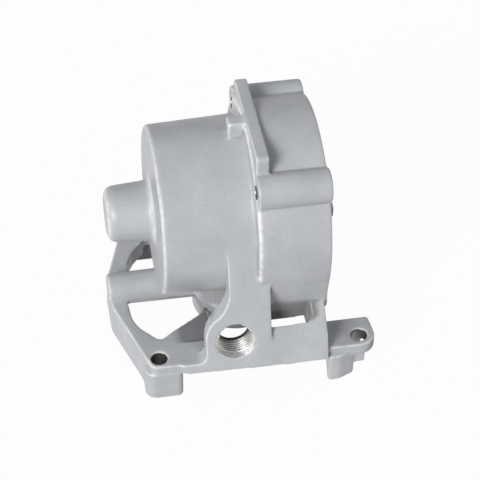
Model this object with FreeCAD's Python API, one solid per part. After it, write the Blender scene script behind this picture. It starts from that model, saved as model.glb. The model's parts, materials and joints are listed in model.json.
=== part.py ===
"""Die cast motor and gear housing, one aluminium casting.

Frame: millimetres, +Z up.  X is the axis of the drum and points out of its open
end.  The origin is on that axis, in the plane of the four cover bosses.  The
feet stand on a plane below the drum, and -Y is the side of the threaded port.
"""
import FreeCAD, Part
import math
import os

# ---- drum, stub and ring: one body turned about X ---------------------------
DRUM_DEPTH = 90.5        # closed end to the cover plane
DRUM_R_END = 47.0        # outside radius at the closed end
DRUM_DRAFT = 1.7         # degrees, opens towards the cover
DRUM_EDGE_R = 2.2        # rounding of the closed end
END_WALL = 4.0           # thickness of the closed end
DRUM_WALL = 4.6          # wall of the drum

STUB_LENGTH = 25.9       # blind bearing stub on the closed end
STUB_R_TIP = 15.4
STUB_R_ROOT = 17.0
STUB_TIP_R = 5.2         # rounding of its tip
STUB_ROOT_R = 3.6        # fillet into the closed end

RING_LENGTH = 39.4       # wide ring at the open end
RING_R = 56.3
RING_R_BACK = 55.9
RING_WALL = 6.6
RING_RECESS = 0.8        # the ring stops this far short of the cover bosses
RING_ROOT_R = 1.2        # where the ring leaves the drum
RING_EDGE_R = 1.0
RING_MOUTH_R = 0.7
STEP_WALL = 4.2          # web between the drum and the ring
CAVITY_FLOOR_R = 1.2

BEARING_R = 11.0         # bearing seat in the stub
BEARING_DEPTH = 12.0
SHAFT_R = 8.0            # room for the end of the shaft, behind the bearing
STUB_TIP_WALL = 5.5

# ---- cover bosses and flange -------------------------------------------------
BOSS_R = 9.6
BOSS_PLACE = 38.5        # offset of each boss in Y and in Z
BOSS_LENGTH = 39.6
BOSS_HOLE_R = 3.5
BOSS_BEVEL = 0.7         # turned edge of the machined boss face
FLANGE_THICK = 7.1
FLANGE_LEAD = 0.3        # the bosses stand this far proud of the flange
FLANGE_TOP = 58.3
FLANGE_HALF = 35.2
FLANGE_CORNER_R = 2.6
PAD_LENGTH = 9.7         # cast pad on the drum, against the flange
PAD_HALF = 4.2
PAD_TOP = 57.6
PAD_EDGE_R = 1.2
FLATS_PER_MM = 1.2       # a rounding on a turned part is this many flats per mm
MOST_FLATS = 3

# ---- slanted side walls ------------------------------------------------------
WALL_SLANT = 15.0        # degrees from upright, tangent to the drum
WALL_THICK = 10.0        # measured along Y
WALL_RIGHT = -2.5        # X of the end near the cover
BLOCK_RIGHT = -33.8      # the full wall steps down to the shelf here
S_TOP_X = -56.4          # upright part of the S edge under the drum
S_FOOT_X = -70.3         # upright part of the S edge over the foot plate
S_TURN_Z = -17.0         # where the S edge starts to swing out
S_ANGLE = 41.0           # degrees, slope of the S edge in its middle
S_STRAIGHT = 5.0
FOOT_FLARE_R = 5.0
FLARE_X = -85.5          # the plate's front edge swings out to the wall from here
FLARE_R = 7.0
FLARE_LENGTH = 6.0       # the wall runs this far into the plate's edge
FLARE_SWING = 8.0        # length of the swing, along X

SHELF_ROOT_Y = 48.3      # inner top edge of the shelf beside the ring
SHELF_ROOT_Z = -35.5
SHELF_CORNER_Z = -48.8   # where shelf and wall planes meet
SHELF_CORNER_R = 9.0
SHELF_THICK = 8.0
SHELF_INNER_R = 3.0
SHELF_FOOT_LIFT = 0.6    # its wall stops this far above the plate's underside
WINDOW_RIGHT = -10.7
WINDOW_BACK_Y = 47.6
WINDOW_FRONT_Y = 57.4
WINDOW_CORNER_R = 3.0
WINDOW_BACK_R = 1.5
WINDOW_FLOOR = -63.5
SADDLE_BOTTOM = -60.0    # cross web under the open end of the ring

# ---- threaded port in the front wall ------------------------------------------
PORT_X = -54.0
PORT_Z = -46.0
PORT_MINOR_R = 9.19      # core bore of an M20 x 1.5 thread
PORT_MOUTH_R = 11.0
PORT_MOUTH_DEPTH = 1.8

# ---- foot plate, skirt, spine and hub ------------------------------------------
PLATE_TOP = -58.9
PLATE_THICK = 6.0
PLATE_LEFT = 116.5       # distance of its left edge from the origin
PLATE_FRONT = 63.6       # distance of its front and rear edges
PLATE_SLANT = 17.4       # degrees, the side edges run in towards the left
PLATE_SLANT_REACH = 114.8
PLATE_LEFT_R = 10.0
PLATE_FRONT_R = 5.0
SKIRT_BOTTOM = -79.0
SKIRT_LEAN = 0.8         # the skirt stands out this much at its foot
SKIRT_THICK = 5.0
SKIRT_RIGHT = -91.6
SKIRT_SIDE = 4.0         # it ends this far inside the front of the legs
LIP_BOTTOM = -70.5       # lip round the plate's openings
LIP_THICK = 3.0
PLATE_RIGHT = -52.5      # the plate ends inside the walls

OPENING_APEX_X = -93.0
OPENING_APEX_Y = 42.6
OPENING_LEFT_X = -107.2
OPENING_LEFT_Y = 8.0
OPENING_BULGE = 3.2      # the left side of each opening bows out
OPENING_RIGHT_X = -66.0
OPENING_RIGHT_Y = 21.7
OPENING_APEX_R = 3.0
OPENING_LEFT_R = 4.0
OPENING_BOW_R = 24.0
OPENING_SKEW = 14.0      # its right side runs in this far towards the hub
REAR_EDGE_SHIFT = 3.3    # the rear opening's left side is this much nearer the hub
POCKET_DEPTH = 3.6       # the plate slopes down beside the wall
POCKET_LEFT = -86.0
POCKET_RIGHT = -62.0
POCKET_FRONT = 46.2

SPINE_R_LEFT = 9.1
SPINE_R_HUB = 9.8
SPINE_Z = -57.2
SPINE_LEFT = -117.5
SPINE_BEVEL = 0.9
HUB_X = -43.7
HUB_R = 24.8
HUB_R_TOP = 26.6
HUB_BOTTOM = -77.0
HUB_TOP = -30.0          # inside the drum's wall
HUB_BEVEL = 1.2
HUB_SHELL = 4.6
HUB_CORE_TOP = -56.0
HUB_CORE_DRAFT = 0.6

# ---- feet -----------------------------------------------------------------------
FOOT_HOLE_R = 4.5
FOOT_HOLE_Y = 56.35
FOOT_LEFT_X = -95.6
FOOT_SPACING_X = 112.4
FOOT_BOTTOM = -82.6
LEG_LEFT_START = -104.0
LEG_LEFT_END = -83.2
LEG_LEFT_FRONT = 64.6
LEG_LEFT_BACK = 47.5
LEG_RIGHT_START = -2.3
LEG_RIGHT_END = 13.6
LEG_RIGHT_FRONT = 66.8
LEG_RIGHT_BACK = 50.5
LEG_CORNER_R = 3.0
LEG_LEFT_R = 6.0         # its outer left corner
LEG_EDGE_R = 1.6         # sharp front corner of the right leg
LEG_FACE = 6.5           # width of the right leg's front face
LEG_NOSE = 4.0           # its side runs back this far
LEG_LEAN = 2.5
LUG_FRONT = 64.3
LUG_BACK = 42.7
LUG_END_X = 24.8
LUG_CORNER_R = 2.0
LUG_THICK = 8.0
LUG_NOSE_R = 9.0
LUG_ROOT = 6.0           # it starts this far inside the wall
LUG_FLARE = 2.0
LUG_SHOULDER = 8.0
STEM_WIDTH = 6.0         # short rib under the lug
STEM_BACK = 3.5          # behind the lug's front face
STEM_BOTTOM = -75.0

SLANT = math.radians(WALL_SLANT)
OUT_Y = -math.cos(SLANT)             # outward normal of the front wall
OUT_Z = math.sin(SLANT)
TAPER = math.tan(math.radians(DRUM_DRAFT))
DRUM_END_X = -DRUM_DEPTH
RING_BACK_X = -RING_RECESS - RING_LENGTH
PLATE_BOTTOM = PLATE_TOP - PLATE_THICK
FOOT_RIGHT_X = FOOT_LEFT_X + FOOT_SPACING_X
FAR = 300.0                          # longer than the part, for open cuts
LAP = 1.0                            # shapes run this far into each other


def vec(x, y, z):
    return FreeCAD.Vector(x, y, z)


def drum_radius(x):
    """Outside radius of the drafted drum at x."""
    return DRUM_R_END + TAPER * (x - DRUM_END_X)


def in_xr(point):
    """Profile point (x, radius) in the XZ plane."""
    return vec(point[0], 0, point[1])


def at_x(x):
    """Section plane across the drum at x, taking (y, z) points."""
    return lambda point: vec(x, point[0], point[1])


def at_z(z):
    """Plan plane at height z, taking (x, y) points."""
    return lambda point: vec(point[0], point[1], z)


def at_y(y):
    """Upright plane at y, taking (x, z) points."""
    return lambda point: vec(point[0], y, point[1])


def corner_points(corners, index, steps):
    """Points on the arc that turns one corner, steps + 1 of them."""
    before = corners[index - 1]
    here = corners[index]
    after = corners[(index + 1) % len(corners)]
    radius = here[2]
    if radius == 0:
        return [here[:2]]
    start_way = math.atan2(before[1] - here[1], before[0] - here[0])
    end_way = math.atan2(after[1] - here[1], after[0] - here[0])
    opening = (end_way - start_way + math.pi) % (2 * math.pi) - math.pi
    half = abs(opening) / 2
    middle = start_way + opening / 2
    centre = (here[0] + radius / math.sin(half) * math.cos(middle),
              here[1] + radius / math.sin(half) * math.sin(middle))
    sweep = math.copysign(math.pi - abs(opening), -opening)
    first = middle + math.pi - sweep / 2
    return [(centre[0] + radius * math.cos(first + sweep * step / steps),
             centre[1] + radius * math.sin(first + sweep * step / steps))
            for step in range(steps + 1)]


def rounded_wire(corners, place):
    """Closed wire through (a, b, radius) corners, each turned by an arc."""
    turns = [corner_points(corners, index, 2) for index in range(len(corners))]
    edges = []
    for index, turn in enumerate(turns):
        if len(turn) > 1:
            edges.append(Part.Arc(*[place(point) for point in turn]).toShape())
        leave = place(turn[-1])
        arrive = place(turns[(index + 1) % len(turns)][0])
        if leave.distanceToPoint(arrive) > 1e-6:
            edges.append(Part.LineSegment(leave, arrive).toShape())
    return Part.Wire(edges)


def prism(corners, place, along):
    """Solid made by carrying a rounded outline along a vector."""
    return Part.Face(rounded_wire(corners, place)).extrude(along)


def turned(corners):
    """Solid turned about X from an (x, radius, rounding) profile.

    Each rounding is a few narrow flats, so that the turned part stays light.
    """
    points = []
    for index, corner in enumerate(corners):
        flats = int(min(MOST_FLATS, max(1, round(corner[2] * FLATS_PER_MM))))
        points.extend(in_xr(point) for point in corner_points(corners, index, flats))
    face = Part.Face(Part.makePolygon(points + points[:1]))
    return face.revolve(vec(0, 0, 0), vec(1, 0, 0), 360)


def mirrored(shape):
    """The same shape on the other side of the XZ plane."""
    return shape.mirror(vec(0, 0, 0), vec(0, 1, 0))


def both_sides(shape):
    """The shape and its mirror image, as a list."""
    return [shape, mirrored(shape)]


def rod_x(radius, start, end, y, z):
    """Cylinder along X."""
    return Part.makeCylinder(radius, end - start, vec(start, y, z), vec(1, 0, 0))


def round_edges(shape, radius, chosen):
    """Fillet the edges that chosen accepts."""
    return shape.makeFillet(radius, [edge for edge in shape.Edges if chosen(edge)])


def bevel_edges(shape, size, chosen):
    """Chamfer the edges that chosen accepts."""
    return shape.makeChamfer(size, [edge for edge in shape.Edges if chosen(edge)])


# ---- the turned body --------------------------------------------------------------
def turned_body():
    """Stub, drum and ring as one solid of revolution."""
    tip = DRUM_END_X - STUB_LENGTH
    mouth = -RING_RECESS
    return turned([
        (tip, 0, 0),
        (tip, STUB_R_TIP, STUB_TIP_R),
        (DRUM_END_X, STUB_R_ROOT, STUB_ROOT_R),
        (DRUM_END_X, DRUM_R_END, DRUM_EDGE_R),
        (RING_BACK_X, drum_radius(RING_BACK_X), RING_ROOT_R),
        (RING_BACK_X, RING_R_BACK, RING_EDGE_R),
        (mouth, RING_R, RING_MOUTH_R),
        (mouth, 0, 0),
    ])


def cavity():
    """Hollow of the ring, drum and bearing stub, open at the cover."""
    floor = DRUM_END_X + END_WALL
    step = RING_BACK_X + STEP_WALL
    seat_end = floor - BEARING_DEPTH
    blind_end = DRUM_END_X - STUB_LENGTH + STUB_TIP_WALL
    bore_back = drum_radius(floor) - DRUM_WALL
    bore_front = drum_radius(step) - DRUM_WALL
    return turned([
        (FAR, 0, 0),
        (FAR, RING_R - RING_WALL, 0),
        (0, RING_R - RING_WALL, 0),
        (step, RING_R_BACK - RING_WALL, 0),
        (step, bore_front, 0),
        (floor, bore_back, CAVITY_FLOOR_R),
        (floor, BEARING_R, 0),
        (seat_end, BEARING_R, 0),
        (seat_end, SHAFT_R, 0),
        (blind_end, SHAFT_R, 0),
        (blind_end, 0, 0),
    ])


# ---- bosses, flange and pad ----------------------------------------------------------
def boss_places():
    """Centres of the four cover bosses in (y, z)."""
    return [(side * BOSS_PLACE, level * BOSS_PLACE)
            for side in (-1, 1) for level in (-1, 1)]


def cover_boss(y, z):
    """One boss, its machined end bevelled."""
    boss = rod_x(BOSS_R, -BOSS_LENGTH, 0, y, z)
    return bevel_edges(boss, BOSS_BEVEL, lambda edge: edge.BoundBox.XMin > -LAP)


def boss_web(side, level):
    """Web that runs from the ring to a lower boss, tangent to both."""
    centre = math.hypot(BOSS_PLACE, BOSS_PLACE)
    swing = math.acos((RING_R_BACK - BOSS_R) / centre)
    aim = math.atan2(level, side)
    corners = [(0, 0, 0)]
    for sign in (-1, 1):
        turn = aim + sign * swing
        ring_point = (RING_R_BACK * math.cos(turn), RING_R_BACK * math.sin(turn), 0)
        boss_point = (side * BOSS_PLACE + BOSS_R * math.cos(turn),
                      level * BOSS_PLACE + BOSS_R * math.sin(turn), 0)
        corners.extend([ring_point, boss_point] if sign < 0 else [boss_point, ring_point])
    length = BOSS_LENGTH - FLANGE_LEAD - RING_RECESS
    return prism(corners, at_x(FLANGE_LEAD - BOSS_LENGTH), vec(length, 0, 0))


def flange():
    """Flat topped plate that ties the upper bosses across the ring."""
    corners = [
        (-FLANGE_HALF, 0, 0),
        (-FLANGE_HALF, FLANGE_TOP, FLANGE_CORNER_R),
        (FLANGE_HALF, FLANGE_TOP, FLANGE_CORNER_R),
        (FLANGE_HALF, 0, 0),
    ]
    return prism(corners, at_x(FLANGE_LEAD - BOSS_LENGTH), vec(FLANGE_THICK, 0, 0))


def drum_pad():
    """Small rectangular pad on top of the drum."""
    start = FLANGE_LEAD - BOSS_LENGTH - PAD_LENGTH
    base = drum_radius(start) - 2 * LAP
    pad = Part.makeBox(PAD_LENGTH + LAP, 2 * PAD_HALF, PAD_TOP - base,
                       vec(start, -PAD_HALF, base))
    return round_edges(pad, PAD_EDGE_R, lambda edge: edge.BoundBox.XMin < start + LAP
                       and edge.BoundBox.ZMax > base + LAP)


# ---- side walls -------------------------------------------------------------------------
def wall_y(x, z):
    """Y of the outer face of the front wall at (x, z)."""
    return -(drum_radius(x) - z * OUT_Z) / math.cos(SLANT)


def along_wall(length):
    """Vector along the drum's drafted side, so the wall stays tangent to it."""
    lift = TAPER * length
    return vec(length, lift * OUT_Y, lift * OUT_Z)


def s_profile():
    """Outline of the full wall in (x, z), its left side swings in an S."""
    angle = math.radians(S_ANGLE)
    swing = S_TOP_X - S_FOOT_X - S_STRAIGHT * math.sin(angle)
    radius = swing / (2 * (1 - math.cos(angle)))
    knee = radius * math.tan(angle / 2)
    upper = (S_TOP_X, S_TURN_Z - knee)
    run = 2 * knee + S_STRAIGHT
    lower = (S_FOOT_X, upper[1] - run * math.cos(angle))
    return [
        (S_TOP_X, DRUM_R_END, 0),
        (upper[0], upper[1], radius),
        (lower[0], lower[1], radius),
        (S_FOOT_X, PLATE_TOP, FOOT_FLARE_R),
        (FLARE_X - FLARE_LENGTH, PLATE_TOP, 0),
        (FLARE_X - FLARE_LENGTH, PLATE_BOTTOM - LAP, 0),
        (WALL_RIGHT, PLATE_BOTTOM - LAP, 0),
        (WALL_RIGHT, DRUM_R_END, 0),
    ]


def full_wall():
    """Front wall under the drum, from its tangent line to the plate."""
    start = FLARE_X - FLARE_LENGTH - LAP
    radius = drum_radius(start)
    inner = radius - WALL_THICK * math.cos(SLANT)
    foot = PLATE_BOTTOM
    slab = prism([
        (radius * OUT_Y, radius * OUT_Z, 0),
        (wall_y(start, foot), foot, 0),
        (wall_y(start, foot) + WALL_THICK, foot, 0),
        (inner * OUT_Y, inner * OUT_Z, 0),
    ], at_x(start), along_wall(BLOCK_RIGHT - start))
    outline = prism(s_profile(), at_y(-FAR), vec(0, FAR, 0))
    front = wall_y(FLARE_X, PLATE_BOTTOM)
    plan = prism([
        (FLARE_X - FLARE_LENGTH, 0, 0),
        (FLARE_X - FLARE_LENGTH, -PLATE_FRONT, 0),
        (FLARE_X, -PLATE_FRONT, FLARE_R),
        (FLARE_X + FLARE_SWING, front - LAP, FLARE_R),
        (WALL_RIGHT, front - 3 * LAP, 0),
        (WALL_RIGHT, 0, 0),
    ], at_z(-FAR / 2), vec(0, 0, FAR))
    return slab.common(outline).common(plan)


def shelf_wall():
    """Lower wall beside the ring, with its sloping shelf and rounded corner."""
    start = BLOCK_RIGHT - LAP
    foot = PLATE_BOTTOM + SHELF_FOOT_LIFT
    corner_y = wall_y(start, SHELF_CORNER_Z)
    return prism([
        (-BOSS_PLACE, SHELF_ROOT_Z + SHELF_THICK / 2, 0),
        (-SHELF_ROOT_Y, SHELF_ROOT_Z, 0),
        (corner_y, SHELF_CORNER_Z, SHELF_CORNER_R),
        (wall_y(start, foot), foot, 0),
        (wall_y(start, foot) + WALL_THICK, foot, 0),
        (corner_y + WALL_THICK, SHELF_CORNER_Z - SHELF_THICK / 2, SHELF_INNER_R),
        (-BOSS_PLACE, SHELF_ROOT_Z - SHELF_THICK, 0),
    ], at_x(start), along_wall(WALL_RIGHT - start))


def window():
    """Opening through the shelf, between the full wall and the end web."""
    return prism([
        (BLOCK_RIGHT, -WINDOW_BACK_Y, 0),
        (WINDOW_RIGHT, -WINDOW_BACK_Y, WINDOW_BACK_R),
        (WINDOW_RIGHT, -WINDOW_FRONT_Y, WINDOW_CORNER_R),
        (BLOCK_RIGHT, -WINDOW_FRONT_Y, 0),
    ], at_z(WINDOW_FLOOR), vec(0, 0, -WINDOW_FLOOR))


def saddle_web():
    """Cross web under the ring's open end, from wall to wall."""
    half = [
        (-WINDOW_FRONT_Y + LAP, SADDLE_BOTTOM, 0),
        (-WINDOW_FRONT_Y + LAP, SHELF_CORNER_Z + LAP, 0),
        (-BOSS_PLACE, SHELF_ROOT_Z - 2 * LAP, 0),
    ]
    corners = half + [(-y, z, radius) for y, z, radius in reversed(half)]
    return prism(corners, at_x(WINDOW_RIGHT), vec(WALL_RIGHT - WINDOW_RIGHT, 0, 0))


def port_cut():
    """Core bore of the threaded port, with its turned mouth."""
    mouth_y = wall_y(PORT_X, PORT_Z)
    bore = Part.makeCylinder(PORT_MINOR_R, 3 * WALL_THICK,
                             vec(PORT_X, mouth_y - WALL_THICK, PORT_Z), vec(0, 1, 0))
    wide = PORT_MOUTH_R + WALL_THICK
    cone = Part.makeCone(wide, PORT_MINOR_R, WALL_THICK + PORT_MOUTH_DEPTH,
                         vec(PORT_X, mouth_y - WALL_THICK, PORT_Z), vec(0, 1, 0))
    return bore.fuse(cone)


# ---- foot plate, spine and hub ---------------------------------------------------------------
def plan_corners(grow, right):
    """Plate outline in plan, pushed out by grow, cut square at x = right."""
    lean = math.radians(PLATE_SLANT)
    left = -(PLATE_LEFT + grow)
    front = -(PLATE_FRONT + grow)
    reach = PLATE_SLANT_REACH + grow
    left_y = -(reach + left * math.cos(lean)) / math.sin(lean)
    front_x = -(reach + front * math.sin(lean)) / math.cos(lean)
    half = [(right, front, 0), (front_x, front, PLATE_FRONT_R), (left, left_y, PLATE_LEFT_R)]
    return half + [(x, -y, radius) for x, y, radius in reversed(half)]


def opening_cut(shift):
    """Three sided opening in the front half of the plate, its left side moved by shift."""
    apex = (OPENING_APEX_X + shift, -OPENING_APEX_Y)
    left = (OPENING_LEFT_X + shift, -OPENING_LEFT_Y)
    chord = (apex[0] - left[0], apex[1] - left[1])
    length = math.hypot(*chord)
    bow = (left[0] + chord[0] / 2 + chord[1] / length * OPENING_BULGE * 2,
           left[1] + chord[1] / 2 - chord[0] / length * OPENING_BULGE * 2)
    return [
        (left[0], 0, 0),
        (left[0], left[1], OPENING_LEFT_R),
        (bow[0], bow[1], OPENING_BOW_R),
        (apex[0], apex[1], OPENING_APEX_R),
        (OPENING_RIGHT_X, -OPENING_RIGHT_Y, 0),
        (OPENING_RIGHT_X + OPENING_SKEW, 0, 0),
    ]


def skirt():
    """Drafted skirt under the left edge of the plate."""
    def bowl(inset):
        top = plan_corners(-inset, SKIRT_RIGHT)
        foot = plan_corners(SKIRT_LEAN - inset, SKIRT_RIGHT)
        wires = [rounded_wire(foot, at_z(SKIRT_BOTTOM)),
                 rounded_wire(top, at_z(PLATE_BOTTOM + LAP))]
        return Part.makeLoft(wires, True, True)
    half = LEG_LEFT_FRONT - SKIRT_SIDE
    keep = Part.makeBox(FAR, 2 * half, FAR, vec(SKIRT_RIGHT - LAP - FAR, -half, SKIRT_BOTTOM))
    return bowl(0).cut(bowl(SKIRT_THICK)).common(keep)


def opening_lip(shift):
    """Lip that hangs from the plate round the left side of an opening."""
    corners = opening_cut(shift)
    cut = prism(corners, at_z(LIP_BOTTOM), vec(0, 0, PLATE_TOP - LIP_BOTTOM))
    outline = rounded_wire(corners, at_z(LIP_BOTTOM))
    face = Part.Face(outline.makeOffset2D(LIP_THICK))
    grown = face.extrude(vec(0, 0, PLATE_TOP - LAP - LIP_BOTTOM))
    left = Part.makeBox(FAR, FAR, FAR, vec(OPENING_APEX_X + LAP - FAR, -FAR, LIP_BOTTOM))
    return grown.cut(cut).common(left)


def foot_plate():
    """Left plate with its slope beside the walls."""
    outline = plan_corners(0, PLATE_RIGHT)
    plate = prism(outline, at_z(PLATE_BOTTOM), vec(0, 0, PLATE_THICK))
    pocket = prism([
        (POCKET_LEFT, PLATE_TOP, 0),
        (POCKET_RIGHT, PLATE_TOP - POCKET_DEPTH, 0),
        (POCKET_RIGHT, PLATE_TOP + LAP, 0),
        (POCKET_LEFT, PLATE_TOP + LAP, 0),
    ], at_y(-POCKET_FRONT), vec(0, 2 * POCKET_FRONT, 0))
    behind_wall = prism([
        (POCKET_RIGHT, -POCKET_FRONT, 0),
        (PLATE_RIGHT + LAP, -POCKET_FRONT, 0),
        (PLATE_RIGHT + LAP, POCKET_FRONT, 0),
        (POCKET_RIGHT, POCKET_FRONT, 0),
    ], at_z(PLATE_BOTTOM - LAP), vec(0, 0, PLATE_THICK + 2 * LAP))
    return plate.cut(pocket).cut(behind_wall)


def spine():
    """Round bar under the drum, from the left edge to the hub."""
    bar = Part.makeCone(SPINE_R_LEFT, SPINE_R_HUB, HUB_X - SPINE_LEFT,
                        vec(SPINE_LEFT, 0, SPINE_Z), vec(1, 0, 0))
    return bevel_edges(bar, SPINE_BEVEL, lambda edge: edge.BoundBox.XMax < SPINE_LEFT + LAP)


def hub():
    """Upright hub under the drum, wider above the plate."""
    lower = Part.makeCylinder(HUB_R, HUB_TOP - HUB_BOTTOM, vec(HUB_X, 0, HUB_BOTTOM))
    upper = Part.makeCylinder(HUB_R_TOP, HUB_TOP - PLATE_TOP, vec(HUB_X, 0, PLATE_TOP))
    lower = bevel_edges(lower, HUB_BEVEL, lambda edge: edge.BoundBox.ZMax < HUB_BOTTOM + LAP)
    return lower.fuse(upper)


def hub_core():
    """Hollow of the hub, open below."""
    inner = HUB_R - HUB_SHELL
    return Part.makeCone(inner + HUB_CORE_DRAFT, inner, HUB_CORE_TOP - HUB_BOTTOM + LAP,
                         vec(HUB_X, 0, HUB_BOTTOM - LAP))


# ---- feet ---------------------------------------------------------------------------------------
def left_leg():
    """Leg under the left foot hole."""
    return prism([
        (LEG_LEFT_START, -LEG_LEFT_FRONT, LEG_LEFT_R),
        (LEG_LEFT_END, -LEG_LEFT_FRONT, LEG_CORNER_R),
        (LEG_LEFT_END, -LEG_LEFT_BACK, LEG_CORNER_R),
        (LEG_LEFT_START, -LEG_LEFT_BACK, LEG_CORNER_R),
    ], at_z(FOOT_BOTTOM), vec(0, 0, PLATE_BOTTOM + LAP - FOOT_BOTTOM))


def right_leg():
    """Leg under the wall's right end, beside the lug's hole."""
    return prism([
        (LEG_RIGHT_START, -LEG_RIGHT_FRONT, LEG_EDGE_R),
        (LEG_RIGHT_START + LEG_FACE, -LEG_RIGHT_FRONT, LEG_CORNER_R),
        (LEG_RIGHT_END, -LEG_RIGHT_FRONT + LEG_NOSE, LEG_CORNER_R),
        (LEG_RIGHT_END, -LEG_RIGHT_BACK, LEG_CORNER_R),
        (LEG_RIGHT_START + LEG_LEAN, -LEG_RIGHT_BACK, LEG_CORNER_R),
    ], at_z(FOOT_BOTTOM), vec(0, 0, PLATE_BOTTOM + LAP - FOOT_BOTTOM))


def lug():
    """Right foot lug, its nose round the hole."""
    plate = prism([
        (WALL_RIGHT - LUG_ROOT, -LUG_BACK, 0),
        (LUG_END_X, -LUG_BACK, LUG_CORNER_R),
        (LUG_END_X + LUG_FLARE, -LUG_FRONT - LUG_FLARE, LUG_NOSE_R),
        (LUG_END_X - LUG_SHOULDER, -LUG_FRONT, 0),
        (WALL_RIGHT - LUG_ROOT, -LUG_FRONT, 0),
    ], at_z(PLATE_TOP - LUG_THICK), vec(0, 0, LUG_THICK))
    stem = Part.makeBox(STEM_WIDTH + LAP, STEM_WIDTH, PLATE_BOTTOM - STEM_BOTTOM,
                        vec(LEG_RIGHT_END - LAP, STEM_BACK - LUG_FRONT, STEM_BOTTOM))
    return plate.fuse(stem)


def foot_holes():
    """Four through holes for the mounting bolts."""
    return [Part.makeCylinder(FOOT_HOLE_R, FAR, vec(x, side * FOOT_HOLE_Y, -FAR / 2))
            for x in (FOOT_LEFT_X, FOOT_RIGHT_X) for side in (-1, 1)]


# ---- the casting ----------------------------------------------------------------------------------
def housing():
    """All of the casting as one solid."""
    body = turned_body()
    adds = [flange(), drum_pad(), foot_plate(), spine(), hub(), saddle_web(), skirt()]
    for shape in (full_wall(), left_leg(), right_leg(), lug()):
        adds.extend(both_sides(shape))
    adds.extend(both_sides(shelf_wall().cut(window())))
    for side in (-1, 1):
        adds.append(boss_web(side, -1))
    body = body.fuse(adds)
    up = vec(0, 0, FAR / 2 + PLATE_TOP + LAP)
    front = prism(opening_cut(0), at_z(-FAR / 2), up)
    rear = mirrored(prism(opening_cut(REAR_EDGE_SHIFT), at_z(-FAR / 2), up))
    keep = spine().fuse(hub())
    body = body.cut([front.cut(keep), rear.cut(keep)])
    body = body.fuse([opening_lip(0), mirrored(opening_lip(REAR_EDGE_SHIFT))])
    body = body.cut([cavity(), hub_core()])
    body = body.fuse([cover_boss(y, z) for y, z in boss_places()])
    drills = [rod_x(BOSS_HOLE_R, -FAR, FAR, y, z) for y, z in boss_places()]
    body = body.cut(drills + foot_holes() + [port_cut()])
    return body.removeSplitter()


os.makedirs("parts", exist_ok=True)
part = housing().Solids[0]
part.exportStep("parts/housing.step")
box = part.BoundBox
print("housing", part.ShapeType, len(part.Solids), "solids", len(part.Faces), "faces",
      "valid" if part.isValid() else "INVALID")
print("size %.1f x %.1f x %.1f mm, volume %.1f cm3" %
      (box.XLength, box.YLength, box.ZLength, part.Volume / 1000))
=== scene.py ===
# %% [markdown]
# # A die cast motor and gear housing, dressed for a plain studio picture
#
# The solid model already has every wall, boss, foot and hole in its place.
# What it doesn't have is the look of a casting: edges that are softly rounded
# because molten metal can't fill a sharp corner, a skin with a fine grain, bare
# bright metal where a cutter has been, and a real screw thread in the side port.
# This lesson adds those four things, mends a few small places where the solid isn't
# yet like a real casting, and then lights the part like a catalogue picture.

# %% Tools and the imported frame
import json
import math

import bpy
import numpy as np
from mathutils import Matrix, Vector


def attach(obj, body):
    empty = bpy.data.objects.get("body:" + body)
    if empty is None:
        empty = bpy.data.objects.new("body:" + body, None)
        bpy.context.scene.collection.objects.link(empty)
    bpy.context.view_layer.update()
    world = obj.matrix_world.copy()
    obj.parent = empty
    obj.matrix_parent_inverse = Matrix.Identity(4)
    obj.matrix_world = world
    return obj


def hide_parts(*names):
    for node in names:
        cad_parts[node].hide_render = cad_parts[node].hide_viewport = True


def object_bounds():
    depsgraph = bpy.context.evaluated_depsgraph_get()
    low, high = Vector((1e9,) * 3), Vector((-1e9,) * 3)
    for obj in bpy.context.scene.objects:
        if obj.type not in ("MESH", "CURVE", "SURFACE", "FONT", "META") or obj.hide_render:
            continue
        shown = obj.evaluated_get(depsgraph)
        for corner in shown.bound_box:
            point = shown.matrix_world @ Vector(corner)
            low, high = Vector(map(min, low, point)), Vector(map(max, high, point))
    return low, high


MM = 0.001                      # one millimetre in the scene's metres
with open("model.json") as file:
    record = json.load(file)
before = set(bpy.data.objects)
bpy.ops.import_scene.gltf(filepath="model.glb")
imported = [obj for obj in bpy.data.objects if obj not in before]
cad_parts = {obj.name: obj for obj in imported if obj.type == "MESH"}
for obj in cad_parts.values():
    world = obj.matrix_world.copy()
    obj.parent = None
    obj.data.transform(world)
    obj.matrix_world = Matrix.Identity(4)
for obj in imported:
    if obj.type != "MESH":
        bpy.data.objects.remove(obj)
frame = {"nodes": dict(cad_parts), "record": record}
cad_box = [list(corner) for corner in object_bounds()]
low, high = (np.array(corner) for corner in cad_box)
mounts = {mount["name"]: mount for mount in frame["record"]["mounts"]}
print("frame size in mm:", np.round((high - low) / MM, 1))

# %% [markdown]
# ## Where the machined places are
#
# The record of the part says where each fastening place is, so the finish can
# find the bare metal without measuring the mesh: four cover screw holes that run
# along X, four foot holes that run along Z, and the threaded port that runs
# along Y.

# %% Places of holes and port
port_at = np.array(mounts["cable_port"]["pos_m"])
port_minor = mounts["cable_port"]["dims"]["r_mm"] * MM
foot_at = np.array(mounts["foot_bolts"]["pos_m"])
foot_dims = mounts["foot_bolts"]["dims"]
cover_dims = mounts["cover_screws"]["dims"]
foot_hole = foot_dims["hole_r_mm"] * MM
foot_step = np.array([foot_dims["spacing_x_mm"], foot_dims["spacing_y_mm"]]) * MM / 2
cover_hole = cover_dims["hole_r_mm"] * MM
cover_step = cover_dims["spacing_x_mm"] * MM / 2
print("port centre in mm:", port_at / MM, "foot hole steps:", foot_step / MM)

# %% [markdown]
# ## Reading and writing meshes as whole arrays
#
# numpy handles hundreds of thousands of points at once, so the lesson moves
# meshes in and out of Blender as plain arrays of corners and faces.


# %% Mesh helpers
def points_of(mesh):
    """All vertex places of a mesh as an (n, 3) array."""
    flat = np.empty(len(mesh.vertices) * 3, np.float32)
    mesh.vertices.foreach_get("co", flat)
    return flat.reshape(-1, 3).astype(float)


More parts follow.
